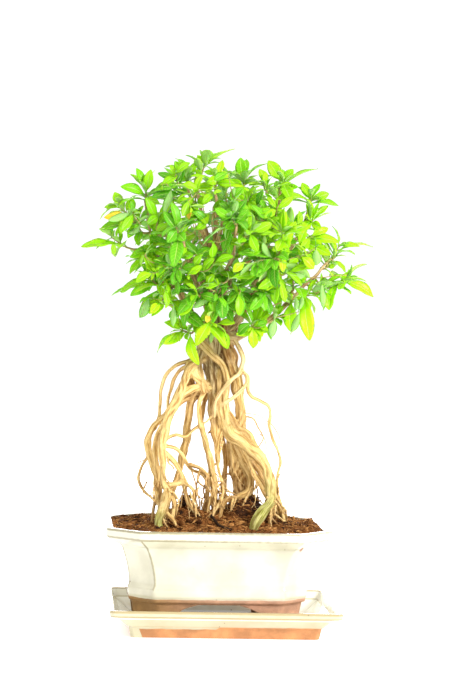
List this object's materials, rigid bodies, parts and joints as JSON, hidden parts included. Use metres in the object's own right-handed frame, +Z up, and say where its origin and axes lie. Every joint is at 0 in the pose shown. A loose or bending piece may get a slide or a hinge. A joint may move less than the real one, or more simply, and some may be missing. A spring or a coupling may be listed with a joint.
{
  "type": "serissa bonsai",
  "caption": "Small indoor bonsai with raised bare roots, woody trunk and leafy crown, planted in a glazed ceramic pot with cut corners that stands on a drip tray.",
  "frame": {"origin": "on the drip tray's underside, straight below the middle of the pot", "axes": "+Z up, +X to the right along the pot's long side seen from the front, +Y away from the viewer"},
  "size_m": [0.2652, 0.1685, 0.4325],
  "materials": {
    "glaze": "gloss",
    "tray_glaze": "gloss",
    "mesh_plastic": "matte",
    "soil": "matte",
    "bark": "matte",
    "leaf_bright": "satin",
    "leaf_mid": "satin",
    "leaf_dark": "satin"
  },
  "bodies": {
    "root": {"tray": "tray_glaze", "pot": "glaze", "drain_mesh_1": "mesh_plastic", "drain_mesh_2": "mesh_plastic", "soil": "soil", "wood": "bark", "spray_01": "leaf_bright", "spray_02": "leaf_bright", "spray_03": "leaf_mid", "spray_04": "leaf_mid", "spray_05": "leaf_dark", "spray_06": "leaf_mid", "spray_07": "leaf_bright", "spray_08": "leaf_bright", "spray_09": "leaf_mid", "spray_10": "leaf_bright", "spray_11": "leaf_mid", "spray_12": "leaf_mid", "spray_13": "leaf_bright", "spray_14": "leaf_bright", "spray_15": "leaf_bright", "spray_16": "leaf_bright", "spray_17": "leaf_mid", "spray_18": "leaf_bright", "spray_19": "leaf_bright", "spray_20": "leaf_mid", "spray_21": "leaf_bright", "spray_22": "leaf_bright", "spray_23": "leaf_mid", "spray_24": "leaf_bright", "spray_25": "leaf_dark", "spray_26": "leaf_mid", "spray_27": "leaf_dark", "spray_28": "leaf_dark", "spray_29": "leaf_mid", "spray_30": "leaf_bright", "spray_31": "leaf_bright", "spray_32": "leaf_dark", "spray_33": "leaf_bright", "spray_34": "leaf_dark", "spray_35": "leaf_dark", "spray_36": "leaf_bright", "spray_37": "leaf_mid", "spray_38": "leaf_dark", "spray_39": "leaf_dark", "spray_40": "leaf_mid", "spray_41": "leaf_dark", "spray_42": "leaf_mid", "spray_43": "leaf_bright", "spray_44": "leaf_mid", "spray_45": "leaf_bright", "spray_46": "leaf_mid", "spray_47": "leaf_mid", "spray_48": "leaf_bright", "spray_49": "leaf_dark", "spray_50": "leaf_mid", "spray_51": "leaf_dark", "spray_52": "leaf_bright", "spray_53": "leaf_mid", "spray_54": "leaf_dark"}
  },
  "joints": []
}
